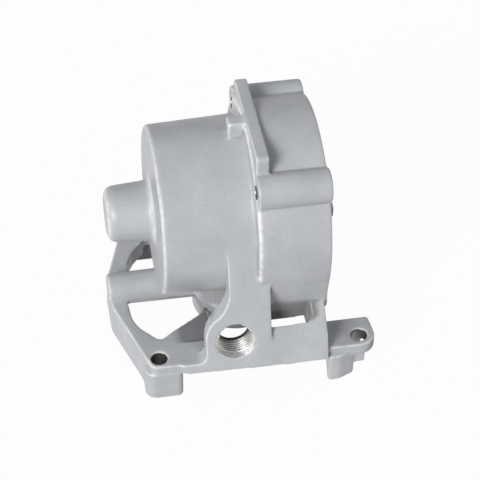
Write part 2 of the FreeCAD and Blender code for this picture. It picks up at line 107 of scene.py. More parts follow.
def normals_of(mesh):
    """All vertex normals of a mesh as an (n, 3) array."""
    flat = np.empty(len(mesh.vertices) * 3, np.float32)
    mesh.vertex_normals.foreach_get("vector", flat)
    return flat.reshape(-1, 3).astype(float)


def edges_of(mesh):
    """Both ends of every edge as an (n, 2) array."""
    flat = np.empty(len(mesh.edges) * 2, np.int32)
    mesh.edges.foreach_get("vertices", flat)
    return flat.reshape(-1, 2)


def triangles_of(mesh):
    """The corner numbers of every face of a triangle mesh as an (n, 3) array."""
    flat = np.empty(len(mesh.polygons) * 3, np.int32)
    mesh.polygons.foreach_get("vertices", flat)
    return flat.reshape(-1, 3)


def put_points(mesh, places):
    """Write vertex places back into a mesh."""
    mesh.vertices.foreach_set("co", places.astype(np.float32).ravel())
    mesh.update()


def put_value(mesh, name, values):
    """Store one number per vertex, which a material can read by its name."""
    layer = mesh.attributes.new(name, "FLOAT", "POINT")
    layer.data.foreach_set("value", values.astype(np.float32))


def with_modifier(piece, kind, **settings):
    """Run one modifier on a piece and keep the result as its mesh."""
    modifier = piece.modifiers.new(kind, kind)
    for key, value in settings.items():
        setattr(modifier, key, value)
    depsgraph = bpy.context.evaluated_depsgraph_get()
    made = bpy.data.meshes.new_from_object(piece.evaluated_get(depsgraph))
    piece.modifiers.clear()
    old = piece.data
    piece.data = made
    bpy.data.meshes.remove(old)
    print(kind, "gave", len(made.vertices), "vertices", len(made.polygons), "faces")


def new_piece(name, mesh):
    """Put a mesh into the scene as an object at the origin."""
    piece = bpy.data.objects.new(name, mesh)
    bpy.context.scene.collection.objects.link(piece)
    return piece


# %% [markdown]
# ## The casting's skin
#
# A real casting has no sharp edge on it: outside edges are rounded and inside
# corners are filled. Bevelling three hundred faces one by one is slow and fails
# where many edges meet. Instead the solid is cut into even little cells, and the
# cells are relaxed: each point moves towards the middle of its neighbours. On a
# flat or gently curved wall that changes nothing. At an edge it makes a fillet.


# %% One welded copy of the solid
def welded_copy(node, step):
    """Same triangles as the node, with corners closer than step made one."""
    places = points_of(node.data)
    keys = np.round(places / step).astype(np.int64)
    _, first, back = np.unique(keys, axis=0, return_index=True, return_inverse=True)
    faces = back.ravel()[triangles_of(node.data)]
    whole = ((faces[:, 0] != faces[:, 1]) & (faces[:, 1] != faces[:, 2])
             & (faces[:, 2] != faces[:, 0]))
    mesh = bpy.data.meshes.new("casting")
    mesh.from_pydata(places[first], [], faces[whole])
    mesh.update()
    return mesh


CELL = 0.6 * MM                 # size of the even cells
housing_node = frame["nodes"]["housing"]
casting = new_piece("casting", welded_copy(housing_node, CELL / 1000))
print("welded copy:", len(casting.data.vertices), "corners")

# %% [markdown]
# ## Where the leaning wall is
#
# The wall with the port leans, so the port's rims aren't square to its axis. Both
# faces of the wall are planes. A least squares fit through the corners of the
# solid's own triangles gives each plane as its place along Y at the port's axis and
# two slopes, and everything at the port is set out from these.

# %% The two faces of the leaning wall
WALL_LEAN = math.radians(15.0)
NEAR_PORT = 26 * MM             # triangles further off than this aren't asked
SAME_WAY = 0.995                # cosine between a face and the wall it belongs to


def wall_face(mesh, side):
    """Least squares plane y = a + b x + c z, from the port's axis, through the
    corners of triangles near the port that face out (side 1) or in (side -1)."""
    normals = np.empty(len(mesh.polygons) * 3, np.float32)
    mesh.polygons.foreach_get("normal", normals)
    centres = np.empty(len(mesh.polygons) * 3, np.float32)
    mesh.polygons.foreach_get("center", centres)
    outward = np.array([0.0, -math.cos(WALL_LEAN), math.sin(WALL_LEAN)])
    away = np.abs(centres.reshape(-1, 3) - port_at).max(axis=1)
    chosen = (normals.reshape(-1, 3) @ outward * side > SAME_WAY) & (away < NEAR_PORT)
    used = points_of(mesh)[triangles_of(mesh)[chosen].ravel()] - port_at
    table = np.column_stack([np.ones(len(used)), used[:, 0], used[:, 2]])
    a, b, c = np.linalg.lstsq(table, used[:, 1], rcond=None)[0]
    return a + port_at[1], b, c


outer_y, outer_b, outer_c = wall_face(housing_node.data, 1)
inner_y, inner_b, inner_c = wall_face(housing_node.data, -1)
print("wall faces at y, mm:", round(outer_y / MM, 2), round(inner_y / MM, 2))

# %% [markdown]
# ## Four small additions before the skin is made
#
# A closed solid that overlaps the casting is welded to it when the cells are made.
# The right foot bolt hole runs so close to the front of the short stem under its
# lug that the drill leaves only a sliver there, so two blocks give the stem its
# front and back walls. A ring narrows the port's mouth to a short lead. A second
# ring is the collar inside the wall, faced square to the port, which gives the
# thread its last turns where the leaning wall would end too early.

# %% Add closed solids to the copy
PORT_MOUTH = 11.0 * MM          # radius of the port's lead
THREAD_MAJOR = 10.0 * MM
BORE_ROOM = THREAD_MAJOR + 0.5 * MM
LEAD_ROOM = PORT_MOUTH + 0.3 * MM
LEAD_DEEP = 6 * MM              # the ring at the mouth reaches this far in
LEAD_OUTER = 16.5 * MM
FLUSH = 0.05 * MM               # its outer edge stays under the painted face
PORT_END = inner_y + 0.2 * MM   # the collar's flat end
COLLAR_OUTER = 12.6 * MM
COLLAR_ROOT = inner_y - 6 * MM  # the collar starts inside the wall
# The stem's two blocks, each by two opposite corners in mm.
STEM_FRONT = ((12.6, -62.4, -74.9), (19.6, -60.7, -66.0))
STEM_BACK = ((12.6, -52.0, -74.9), (19.6, -50.2, -66.0))


def add_closed(mesh, places, faces):
    """Append loose triangles to a triangle mesh."""
    old = points_of(mesh)
    every = np.vstack([triangles_of(mesh), faces + len(old)])
    mesh.clear_geometry()
    mesh.from_pydata(np.vstack([old, places]), [], every)
    mesh.update()


def block(near, far):
    """Eight corners and twelve triangles of a box between two corners in mm."""
    places = np.array([(x, y, z) for z in (near[2], far[2])
                       for y in (near[1], far[1]) for x in (near[0], far[0])]) * MM
    quads = np.array([(0, 2, 3, 1), (4, 5, 7, 6), (0, 1, 5, 4),
                      (2, 6, 7, 3), (0, 4, 6, 2), (1, 3, 7, 5)])
    return places, np.vstack([quads[:, [0, 1, 2]], quads[:, [0, 2, 3]]])


def port_ring(corners, steps=96):
    """A ring round the port's axis. Each corner of its section is a radius, a y
    at the axis, and how much of the wall's lean the y follows."""
    turn = np.linspace(0, 2 * math.pi, steps, endpoint=False)
    slope = outer_b * np.cos(turn) + outer_c * np.sin(turn)
    rows = [np.column_stack([port_at[0] + radius * np.cos(turn), y + lean * radius * slope,
                             port_at[2] + radius * np.sin(turn)])
            for radius, y, lean in corners]
    index = np.arange(len(rows) * steps).reshape(len(rows), steps)
    below, beside = np.roll(index, -1, axis=0), np.roll(index, -1, axis=1)
    across = np.roll(below, -1, axis=1)
    faces = np.vstack([np.stack([index, beside, across], 2).reshape(-1, 3),
                       np.stack([index, across, below], 2).reshape(-1, 3)])
    return np.vstack(rows), faces


add_closed(casting.data, *block(*STEM_FRONT))
add_closed(casting.data, *block(*STEM_BACK))
add_closed(casting.data, *port_ring([
    (LEAD_ROOM, outer_y, 1), (LEAD_ROOM, outer_y + LEAD_DEEP, 1),
    (LEAD_OUTER, outer_y + LEAD_DEEP, 1), (LEAD_OUTER, outer_y + FLUSH, 1)]))
add_closed(casting.data, *port_ring([
    (BORE_ROOM, COLLAR_ROOT, 0), (BORE_ROOM, PORT_END, 0),
    (COLLAR_OUTER, PORT_END, 0), (COLLAR_OUTER, COLLAR_ROOT, 0)]))
print("with the additions:", len(casting.data.vertices), "corners")

# %% [markdown]
# ## Even cells, then relaxed
#
# The voxel remesh replaces the long triangles by cells of one size and melts the
# additions into the casting. The relaxing that follows is a few rounds of plain
# averaging, and no point may move further than a cap, so walls keep their place.

# %% Even cells
with_modifier(casting, "REMESH", mode="VOXEL", voxel_size=CELL, use_smooth_shade=True)


# %% Relax the cells
def relaxed(places, edges, rounds, share):
    """Each round moves every point by share of the way to its neighbours' mean."""
    count = np.bincount(edges.ravel(), minlength=len(places))[:, None]
    for _ in range(rounds):
        total = np.zeros_like(places)
        for axis in range(places.shape[1]):
            total[:, axis] = (
                np.bincount(edges[:, 0], places[edges[:, 1], axis], len(places))
                + np.bincount(edges[:, 1], places[edges[:, 0], axis], len(places)))
        places = places + share * (total / np.maximum(count, 1) - places)
    return places


MOST_MOVE = 0.45 * MM           # no point leaves its cell by more than this
TINY = 1e-9                     # keeps a division from meeting zero
raw = points_of(casting.data)
moved = relaxed(raw, edges_of(casting.data), rounds=5, share=0.6) - raw
length = np.linalg.norm(moved, axis=1, keepdims=True)
moved *= np.minimum(1.0, MOST_MOVE / np.maximum(length, TINY))
skin = raw + moved
print("largest move in mm:", round(float(length.max()) / MM, 2))

# %% [markdown]
# ## How round is it here?
#
# A fillet shows because it catches the lamp, and on a handled casting the paint
# is also thinnest there, so the finish makes outside edges brighter, partly as thin
# paint and partly as a painted highlight, and makes corners darker as painted
# shade. For that it needs to know which points lie on an outside edge and which lie
# in a corner. The relaxing has already measured that: it pulls outside edges in,
# against the normal, and pushes corners out.

# %% Edges and hollows
FULL_PULL = 0.20 * MM           # a pull this long counts as fully edge or corner
put_points(casting.data, skin)
pull = relaxed(np.sum(moved * normals_of(casting.data), axis=1, keepdims=True),
               edges_of(casting.data), rounds=2, share=0.5)[:, 0]
put_value(casting.data, "edge", np.clip(-pull / FULL_PULL, 0, 1))
put_value(casting.data, "hollow", np.clip(pull / FULL_PULL, 0, 1))
print("points on edges:", int((pull < -FULL_PULL / 2).sum()),
      "in hollows:", int((pull > FULL_PULL / 2).sum()))


# %% [markdown]
# ## Room for the thread
#
# The solid's port is a plain bore with the thread's inner radius. The thread is a
# piece of its own, so the bore behind it is pushed out past the thread's outer
# radius, and further at the mouth, where the lead cone is. Only the rim keeps its
# place, so no gap shows from outside.

# %% Push the bore out
RIM = 0.7 * MM                  # the bore keeps its radius this near its ends


def smooth_step(value):
    """Three times the square less twice the cube: from 0 to 1 with level ends."""
    value = np.clip(value, 0, 1)
    return value * value * (3 - 2 * value)


def wall_at(across, y, b, c):
    """Where along Y a wall's plane is, at places (x, z) counted from the port's axis."""
    return y + across @ (b, c)


across = skin[:, [0, 2]] - port_at[[0, 2]]
reach = np.linalg.norm(across, axis=1)
under_face = skin[:, 1] - wall_at(across, outer_y, outer_b, outer_c)
over_back = wall_at(across, inner_y, inner_b, inner_c) - skin[:, 1]
depth = np.minimum(under_face, over_back)
cone_room = np.clip(LEAD_ROOM - (skin[:, 1] - outer_y), BORE_ROOM, LEAD_ROOM)
room = np.where((reach < cone_room) & (depth > 0), smooth_step(depth / RIM), 0)
wanted = reach + room * (cone_room - reach)
skin[:, [0, 2]] = port_at[[0, 2]] + across * (wanted / np.maximum(reach, TINY))[:, None]
print("bore points pushed out:", int((room > 0).sum()))

# %% [markdown]
# ## Marks of the mould
#
# The core of each upper boss leaves a shallow swelling along the drum. Over the
# angle round the axis it is a flat topped bell, exp of minus the fourth power, and
# it grows evenly towards the ring.

# %% Swelling in line with the boss
BOSS_ANGLE = math.radians(45)
SWELL_HALF = math.radians(3.6)  # half its width
SWELL_HIGH = 0.22 * MM
drum_left, drum_right = low[0] + 27 * MM, -42 * MM
DRUM_FROM, DRUM_UPTO = 46 * MM, 50 * MM      # radii between which the drum's skin lies
radius_here = np.hypot(skin[:, 1], skin[:, 2])
angle_here = np.arctan2(skin[:, 2], np.abs(skin[:, 1]))
along = np.clip((skin[:, 0] - drum_left) / (drum_right - drum_left), 0, 1)
on_drum = ((skin[:, 0] > drum_left) & (skin[:, 0] < drum_right)
           & (radius_here > DRUM_FROM) & (radius_here < DRUM_UPTO))
bell = np.exp(-((angle_here - BOSS_ANGLE) / SWELL_HALF) ** 4)
raised = SWELL_HIGH * bell * along * on_drum
skin += (raised / radius_here)[:, None] * skin * (0, 1, 1)
print("highest swelling in mm:", round(float(raised.max()) / MM, 2))

# %% [markdown]
# ## Two hidden ends drawn in
#
# Behind the port the foot plate ends a little too near, and the rear right lug has
# a square inner corner. Both would show where a real casting shows nothing, so
# their points are drawn back along X: the plate's end by a share of its length,
# the lug's corner by more the further it lies from its hole.

# %% Draw the plate's end and the lug's corner in
PLATE_LOW, PLATE_HIGH = -66 * MM, -57.6 * MM
PLATE_FROM, PLATE_TO = -70 * MM, -52 * MM
PLATE_KEEPS = 0.76              # share of that length which is left
NEAR_WALL = 0.3 * MM
LUG_FROM = 16 * MM
LUG_TAKES = 0.85                # share of the rest which is taken away
LUG_LEVEL = -50 * MM
LUG_HOLE_SIDE, LUG_FADE = 51 * MM, 4 * MM


def behind_wall(places, y, slope):
    """How far along Y each point lies behind a wall face that crosses the port's
    axis at y and slopes along Z.
    The rear wall mirrors the front one, so the distance from the middle counts."""
    return -np.abs(places[:, 1]) - (y + slope * (places[:, 2] - port_at[2]))


between_walls = behind_wall(skin, inner_y, inner_c) > -NEAR_WALL
level_with_plate = (skin[:, 2] > PLATE_LOW) & (skin[:, 2] < PLATE_HIGH)
drawn = (level_with_plate & between_walls
         & (skin[:, 0] > PLATE_FROM) & (skin[:, 0] < PLATE_TO))
skin[:, 0] = np.where(drawn, PLATE_FROM + PLATE_KEEPS * (skin[:, 0] - PLATE_FROM), skin[:, 0])
corner = (skin[:, 0] > LUG_FROM) & (skin[:, 2] < LUG_LEVEL) & (skin[:, 1] > 0)
take = LUG_TAKES * corner * smooth_step((LUG_HOLE_SIDE - skin[:, 1]) / LUG_FADE)
skin[:, 0] -= take * (skin[:, 0] - LUG_FROM)
print("plate points drawn in:", int(drawn.sum()), "lug points:", int((take > 0).sum()))

put_points(casting.data, np.clip(skin, low, high))

# %% [markdown]
# ## A lighter mesh
#
# The even cells are far finer than flat walls need. Collapsing the edges that
# bend least brings the piece down to at most 190,000 triangles and keeps the
# fillets, and the numbers stored on the points are carried along.

# %% Fewer triangles where nothing bends
LARGEST_PIECE = 190000
triangles_now = len(casting.data.loops) - 2 * len(casting.data.polygons)
with_modifier(casting, "DECIMATE", ratio=min(1.0, LARGEST_PIECE / triangles_now),
              use_collapse_triangulate=True)
casting.data.shade_smooth()


# %% [markdown]
# ## Bare metal
#
# After casting, a cutter faces the four cover bosses, the ring's mouth and the
# feet, and drills bore the screw holes. These places stay unpainted. A point is
# bare if it lies on a hole's cylinder or inside the port, or if it lies in a
# machined plane and faces out of it.

# %% Where the cutters went
SHAVE = 0.35 * MM               # the feet are bare this far up
FACED = 1.3 * MM                # the mouth's faces are bare this far back
MOUTH_LOW = -50 * MM            # end faces below this are as cast
SQUARE_ON = 0.8                 # cosine of the angle that counts as facing out
ON_WALL = 0.15 * MM             # a point this near a hole's cylinder lies on it
FOOT_REAMED = 8 * MM            # the foot holes are bright this far up


def near_axis(places, centres, columns, radius):
    """True within radius of any of the axes through centres, seen along them."""
    apart = places[:, None, columns] - centres[None]
    return (np.linalg.norm(apart, axis=2) < radius).any(axis=1)


skin = points_of(casting.data)
facing = normals_of(casting.data)
signs = np.array([(-1, -1), (-1, 1), (1, -1), (1, 1)])
foot_axes = foot_at[:2] + signs * foot_step
cover_axes = signs * cover_step
bare = near_axis(skin, foot_axes, [0, 1], foot_hole + ON_WALL)
bare &= skin[:, 2] < foot_at[2] + FOOT_REAMED
bare |= near_axis(skin, cover_axes, [1, 2], cover_hole + ON_WALL)
bare |= (skin[:, 2] < low[2] + SHAVE) & (facing[:, 2] < -SQUARE_ON)
bare |= (skin[:, 0] > -FACED) & (facing[:, 0] > SQUARE_ON) & (skin[:, 2] > MOUTH_LOW)
across = skin[:, [0, 2]] - port_at[[0, 2]]
bare |= ((np.linalg.norm(across, axis=1) < LEAD_ROOM + 0.1 * MM) & (skin[:, 1] < PORT_END)
         & (skin[:, 1] > wall_at(across, outer_y, outer_b, outer_c) + ON_WALL))
put_value(casting.data, "bare", bare.astype(float))
print("bare points:", int(bare.sum()), "of", len(bare))

# %% [markdown]
# ## Painted shade between the walls
#
# The skin in the space between the walls, on the plate there, and on the top of
# the lug in the corner beside the wall is painted darker, as painted shade where
# little light reaches. The share is full a few millimetres behind the wall's face,
# and fades out towards the drum's closed end and upwards.

# %% Painted shade inside the walls
BEHIND_FROM, BEHIND_FADE = 3.0, 1.5          # in mm, as all numbers in this cell
SHADE_LEFT, SHADE_LEFT_FADE = -68, 4
SHADE_TOP, SHADE_TOP_FADE = -33, 3
RING_START, RING_WALL, DRUM_WALL = -40, 53, 45.8
RECESS_END, NARROW_SHARE = -6, 0.65          # the share is less beside the drum
PLATE_LEFT, PLATE_UNDER, PLATE_TOP, PLATE_SHARE = -90, -66, -59.6, 0.72
LUG_LEFT, LUG_UNDER, LUG_TOP = 2, -61, -57
LUG_SHARE, LUG_LOSS = 0.48, 0.016            # at x = 0, and what each mm takes away
FACING_UP = 0.6
x, y, z = skin.T / MM
outside_drum = np.hypot(y, z) > np.where(x > RING_START, RING_WALL, DRUM_WALL)
recess = (smooth_step((x - SHADE_LEFT) / SHADE_LEFT_FADE)
          * smooth_step((SHADE_TOP - z) / SHADE_TOP_FADE) * outside_drum * (x < RECESS_END)
          * np.where(x < RING_START, NARROW_SHARE, 1.0))
on_plate = PLATE_SHARE * ((z < PLATE_TOP) & (z > PLATE_UNDER) & (x > PLATE_LEFT))
behind = behind_wall(skin, outer_y, outer_c) / MM
recess_shade_share = smooth_step((behind - BEHIND_FROM) / BEHIND_FADE) * np.maximum(recess, on_plate)
lug_top = (x > LUG_LEFT) & (z < LUG_TOP) & (z > LUG_UNDER) & (facing[:, 2] > FACING_UP)
recess_shade_share = np.maximum(recess_shade_share, lug_top * (LUG_SHARE - LUG_LOSS * x))
put_value(casting.data, "inner", recess_shade_share)
print("raw points:", int((recess_shade_share > 0.5).sum()))

# %% [markdown]
# ## Painted shade in the drilled holes
#
# The drilled holes see little light, so their walls are painted dark as painted
# shade right up to a thin bright lip.

# %% Walls of the drilled holes
SHADED_WALL_MARGIN = 0.2 * MM
LIP_HEIGHT = 0.9 * MM
FOOT_DRILLED = 30 * MM          # no foot hole is deeper than this
in_foot_hole = near_axis(skin, foot_axes, [0, 1], foot_hole + SHADED_WALL_MARGIN)
in_foot_hole &= (skin[:, 2] < foot_at[2] + FOOT_DRILLED) & (skin[:, 2] > low[2] + LIP_HEIGHT)
in_cover_hole = near_axis(skin, cover_axes, [1, 2], cover_hole + SHADED_WALL_MARGIN)
in_cover_hole &= skin[:, 0] < high[0] - LIP_HEIGHT
deep_shade = in_foot_hole | in_cover_hole
put_value(casting.data, "deep_shade", deep_shade.astype(float))
print("points inside drilled holes:", int(deep_shade.sum()))

# %% [markdown]
# ## Rims made bright by handling and by a painted highlight
#
# The large round rims of a casting are what hands, benches and other castings
# touch first, so the paint there is thin or gone, and they catch the lamp, so they
# are also painted brighter as a painted highlight. Each rim is a circle round the
# drum's axis. The brightening is a bell curve over the distance from that circle.

# %% Rims made bright by handling and by a painted highlight
# The fourth number of each rim is how bright it gets, from thin paint and a painted highlight
# together.
WORN_AND_HIGHLIT_RIMS = (                        # x, radius, width in mm, wear, lowest z in mm
    (-90.0, 46.6, 1.0, 0.75, -90),           # closed end of the drum
    (-115.4, 12.6, 1.7, 0.8, -90),           # tip of the stub
    (-91.6, 18.4, 1.6, 0.6, -90),            # root of the stub
    (-40.0, 55.6, 1.7, 1.0, -13))            # back of the ring, down to the wall
WEAR_AND_HIGHLIGHT_FADE = 4                   # in mm, above the lowest z


def rim_wear_and_highlight(places, rims):
    """Largest of the rims' bell curves, each exp of minus the squared distance
    to its circle over its width, faded out below its lowest z."""
    wide = np.hypot(places[:, 1], places[:, 2])
    wear_and_highlight = np.zeros(len(places))
    for at, radius, width, most, lowest in rims:
        apart = np.hypot(places[:, 0] - at * MM, wide - radius * MM) / (width * MM)
        above = smooth_step((places[:, 2] / MM - lowest) / WEAR_AND_HIGHLIGHT_FADE)
        wear_and_highlight = np.maximum(wear_and_highlight, most * above * np.exp(-apart ** 2))
    return wear_and_highlight


rubbed_and_highlit = rim_wear_and_highlight(skin, WORN_AND_HIGHLIT_RIMS)
put_value(casting.data, "rim", rubbed_and_highlit)
print("points on rubbed rims:", int((rubbed_and_highlit > 0.3).sum()))

# %% [markdown]
# ## The thread in the port
#
# The record's port has a metric thread, 20 mm by 1.5 mm, cut into the leaning wall
# behind a short lead cone. Its inner surface is a function of the angle round the
# port and the way through the wall: at each point the radius is the larger of the
# thread's wave and the cone, and near the far end it runs out into a narrower lip.
# A plain sleeve, hidden in the wall, closes the piece.

# %% Thread surface
PITCH = 1.5 * MM
TURN_STEPS = 160
WAY_STEPS = 150
SLEEVE_STEPS = 14
UNDER = 0.12 * MM               # the piece starts this far under the wall's face
LEAD_IN = 0.95 * MM             # the lead cone ends this far in, at the axis
RUN_OUT = 2.2 * MM
RUN_OUT_EARLY = 1.6             # it begins this many of its lengths before the end
LIP = 8.3 * MM                  # radius of the lip
SLEEVE_LEAST = 0.15 * MM
SLEEVE_THICK, SLEEVE_FADE = 0.7 * MM, 3 * MM
CREST_FROM, FLANK = 0.375, 0.3125            # in pitches, counted from the root


def thread_radius(turn, y):
    """Inner radius of the thread: crest flats of a quarter pitch, root flats of an
    eighth, and straight flanks between, all wound on a helix of one pitch."""
    from_root = np.abs((y / PITCH + turn / (2 * math.pi)) % 1.0 - 0.5)
    share = np.clip((CREST_FROM - from_root) / FLANK, 0, 1)
    return port_minor + (THREAD_MAJOR - port_minor) * share


def port_thread():
    """A closed ring of points: the threaded way in, then the plain sleeve back out."""
    turn = np.linspace(0, 2 * math.pi, TURN_STEPS, endpoint=False)[None]
    lean_out = outer_b * np.cos(turn) + outer_c * np.sin(turn)
    lean_in = inner_b * np.cos(turn) + inner_c * np.sin(turn)
    rim = np.clip(PORT_MOUTH / (1 + lean_out), port_minor, PORT_MOUTH)
    start = outer_y + lean_out * rim + UNDER
    end = np.maximum(inner_y + lean_in * port_minor, PORT_END) + UNDER
    y_in = start + np.linspace(0, 1, WAY_STEPS)[:, None] * (end - start)
    lead_end = outer_y + LEAD_IN
    narrow = np.clip((lead_end - y_in) / np.maximum(lead_end - start, 0.01 * MM), 0, 1)
    cone = port_minor + (rim - port_minor) * narrow
    cut = np.maximum(thread_radius(turn, y_in), cone)
    out = smooth_step((y_in - PORT_END) / RUN_OUT + RUN_OUT_EARLY)
    inside = cut + out * (LIP - cut)
    y_back = start + np.linspace(1, 0, SLEEVE_STEPS)[:, None] * (end - start)
    plain = np.clip(PORT_MOUTH - (y_back - outer_y), port_minor, PORT_MOUTH)
    thick = SLEEVE_THICK * smooth_step((y_back - start) / SLEEVE_FADE)
    sleeve = np.maximum(plain + SLEEVE_LEAST, THREAD_MAJOR + thick)
    radius = np.vstack([inside, sleeve])
    y = np.vstack([y_in, y_back])
    turns = np.repeat(turn, len(y), axis=0)
    return np.stack([port_at[0] + radius * np.cos(turns), y,
                     port_at[2] + radius * np.sin(turns)], axis=2)


def grid_mesh(name, grid):
    """Quads over a grid of points that closes on itself both ways."""
    rows, columns = grid.shape[:2]
    index = np.arange(rows * columns).reshape(rows, columns)
    below, beside = np.roll(index, -1, axis=0), np.roll(index, -1, axis=1)
    faces = np.stack([index, beside, np.roll(below, -1, axis=1), below], axis=2)
    mesh = bpy.data.meshes.new(name)
    mesh.from_pydata(grid.reshape(-1, 3), [], faces.reshape(-1, 4))
    mesh.update()
    mesh.shade_smooth()
    return mesh


thread = new_piece("port_thread", grid_mesh("port_thread", port_thread()))
print("thread has", len(thread.data.polygons), "faces")

# %% Painted shade at the far end of the thread
DARK_FROM, DARK_FADE = 0.62, 0.25            # shares of the way through
way_in = (points_of(thread.data)[:, 1] - outer_y) / (PORT_END - outer_y)
put_value(thread.data, "deep_shade", smooth_step((way_in - DARK_FROM) / DARK_FADE))

# %% [markdown]
# ## Finish
#
# The casting is shot blasted and painted a satin light grey. The paint varies a
# little in clouds and has a fine dark grain from the blasted skin. On edges and rims
# it is made brighter, partly where handling has thinned the paint and partly as a
# painted highlight. Corners, the space between the walls and the drilled holes are
# made darker as painted shade. The numbers stored on the points say where each of
# these goes, and noise on object coordinates breaks them up.

# %% Material helpers
def new_material(name):
    """A material with its shader, ready for nodes."""
    material = bpy.data.materials.new(name)
    material.use_nodes = True
    tree = material.node_tree
    return material, tree, tree.nodes["Principled BSDF"]


def add(tree, kind, **settings):
    """Add one node and set its inputs, or else its properties, by name."""
    node = tree.nodes.new(kind)
    for key, value in settings.items():
        if key in node.inputs:
            node.inputs[key].default_value = value
        else:
            setattr(node, key, value)
    return node


def stored(tree, name):
    """The number stored on the points under a name."""
    return add(tree, "ShaderNodeAttribute", attribute_name=name).outputs["Fac"]


def ramp(tree, source, low_at, low_value, high_at, high_value):
    """Map one number to another, level outside the two stops."""
    node = tree.nodes.new("ShaderNodeMapRange")
    node.inputs["From Min"].default_value = low_at
    node.inputs["From Max"].default_value = high_at
    node.inputs["To Min"].default_value = low_value
    node.inputs["To Max"].default_value = high_value
    tree.links.new(source, node.inputs["Value"])
    return node.outputs["Result"]


def blended(tree, share, first, second):
    """Mix two colours, or a colour and a socket, by a share."""
    node = tree.nodes.new("ShaderNodeMix")
    node.data_type = "RGBA"
    tree.links.new(share, node.inputs["Factor"])
    for socket, value in ((node.inputs["A"], first), (node.inputs["B"], second)):
        if isinstance(value, tuple):
            socket.default_value = value
        else:
            tree.links.new(value, socket)
    return node.outputs["Result"]


def product(tree, first, second):
    """Multiply a socket by a socket or a number."""
    node = tree.nodes.new("ShaderNodeMath")
    node.operation = "MULTIPLY"
    tree.links.new(first, node.inputs[0])
    if isinstance(second, float):
        node.inputs[1].default_value = second
    else:
        tree.links.new(second, node.inputs[1])
    return node.outputs[0]


# %% Satin cast paint
PAINT_DARK = (0.415, 0.425, 0.445, 1)
PAINT_LIGHT = (0.485, 0.495, 0.515, 1)
WORN_AND_HIGHLIGHT = (0.80, 0.80, 0.775, 1)
# A dark grey used for the skin's fine grain and for painted shade in corners.
GRAIN_AND_SHADE_GREY = (0.20, 0.20, 0.205, 1)
METAL = (0.62, 0.62, 0.61, 1)
HOLE_SHADE_GREY = (0.24, 0.24, 0.23, 1)
RECESS_SHADE_GREY = (0.13, 0.13, 0.125, 1)


def cast_finish():
    """Grey satin paint, brighter on edges and rims from thin paint and a painted highlight,
    painted shade in corners, recesses and holes, bare where cut.
    """
    material, tree, shader = new_material("cast_finish")
    link = tree.links.new
    place = add(tree, "ShaderNodeTexCoord").outputs["Object"]
    cloud = add(tree, "ShaderNodeTexNoise", Scale=45.0, Detail=3.0)
    grain = add(tree, "ShaderNodeTexNoise", Scale=1300.0, Detail=2.0)
    swell = add(tree, "ShaderNodeTexNoise", Scale=260.0, Detail=3.0)
    for node in (cloud, grain, swell):
        link(place, node.inputs["Vector"])
    paint = blended(tree, ramp(tree, cloud.outputs["Fac"], 0.3, 0.0, 0.7, 1.0),
                    PAINT_DARK, PAINT_LIGHT)
    speck = blended(tree, ramp(tree, grain.outputs["Fac"], 0.35, 0.16, 0.55, 0.0),
                    paint, GRAIN_AND_SHADE_GREY)
    # Edges: partly thin paint, partly a painted highlight, mixed towards the bright grey.
    on_edge = product(tree, ramp(tree, stored(tree, "edge"), 0.35, 0.0, 1.0, 0.75),
                      ramp(tree, swell.outputs["Fac"], 0.35, 0.3, 0.6, 1.0))
    worn_and_highlit = blended(tree, on_edge, speck, WORN_AND_HIGHLIGHT)
    # Rims: partly thin paint, partly a painted highlight, mixed towards the bright grey.
    patchy = product(tree, stored(tree, "rim"),
                     ramp(tree, swell.outputs["Fac"], 0.35, 0.35, 0.55, 0.95))
    polished_and_highlit = blended(tree, patchy, worn_and_highlit, WORN_AND_HIGHLIGHT)
    # Painted shade between the walls, on the plate there and on the lug's top.
    raw = blended(tree, product(tree, stored(tree, "inner"), 0.76), polished_and_highlit, RECESS_SHADE_GREY)
    # Corners: painted shade, the hollow share darkens the colour.
    corner_shaded = blended(tree, ramp(tree, stored(tree, "hollow"), 0.25, 0.0, 1.0, 0.6), raw, GRAIN_AND_SHADE_GREY)
    cut = blended(tree, stored(tree, "bare"), corner_shaded, METAL)
    # Inside the drilled holes: painted shade.
    link(blended(tree, stored(tree, "deep_shade"), cut, HOLE_SHADE_GREY), shader.inputs["Base Color"])
    link(product(tree, stored(tree, "bare"), 0.9), shader.inputs["Metallic"])
    link(ramp(tree, swell.outputs["Fac"], 0.3, 0.36, 0.7, 0.48), shader.inputs["Roughness"])
    fine = add(tree, "ShaderNodeBump", Strength=0.25, Distance=0.0002)
    link(grain.outputs["Fac"], fine.inputs["Height"])
    broad = add(tree, "ShaderNodeBump", Strength=0.15, Distance=0.0006)
    link(swell.outputs["Fac"], broad.inputs["Height"])
    link(fine.outputs["Normal"], broad.inputs["Normal"])
    link(broad.outputs["Normal"], shader.inputs["Normal"])
    return material


# %% Cut metal of the thread
TURNED_DARK = (0.46, 0.46, 0.45, 1)
TURNED_LIGHT = (0.80, 0.80, 0.78, 1)
THREAD_END_SHADE_GREY = (0.06, 0.06, 0.06, 1)


def cut_metal():
    """Bare machined metal with fine turning marks round the port, painted dark towards its
    far end as painted shade.
    """
    material, tree, shader = new_material("cut_metal")
    shader.inputs["Metallic"].default_value = 1.0
    link = tree.links.new
    place = add(tree, "ShaderNodeTexCoord").outputs["Object"]
    streak = add(tree, "ShaderNodeTexNoise", Scale=900.0, Detail=2.0)
    link(place, streak.inputs["Vector"])
    turned = blended(tree, streak.outputs["Fac"], TURNED_DARK, TURNED_LIGHT)
    # The far end of the thread: painted shade.
    link(blended(tree, product(tree, stored(tree, "deep_shade"), 0.9), turned, THREAD_END_SHADE_GREY),
         shader.inputs["Base Color"])
    link(ramp(tree, streak.outputs["Fac"], 0.3, 0.34, 0.7, 0.5), shader.inputs["Roughness"])
    return material


# %% [markdown]
# ## Joining the frame
#
# Both pieces ride the one body, each with a material of its own. The dressed
# casting takes the place of the plain solid, and the thread is an extra piece on it.

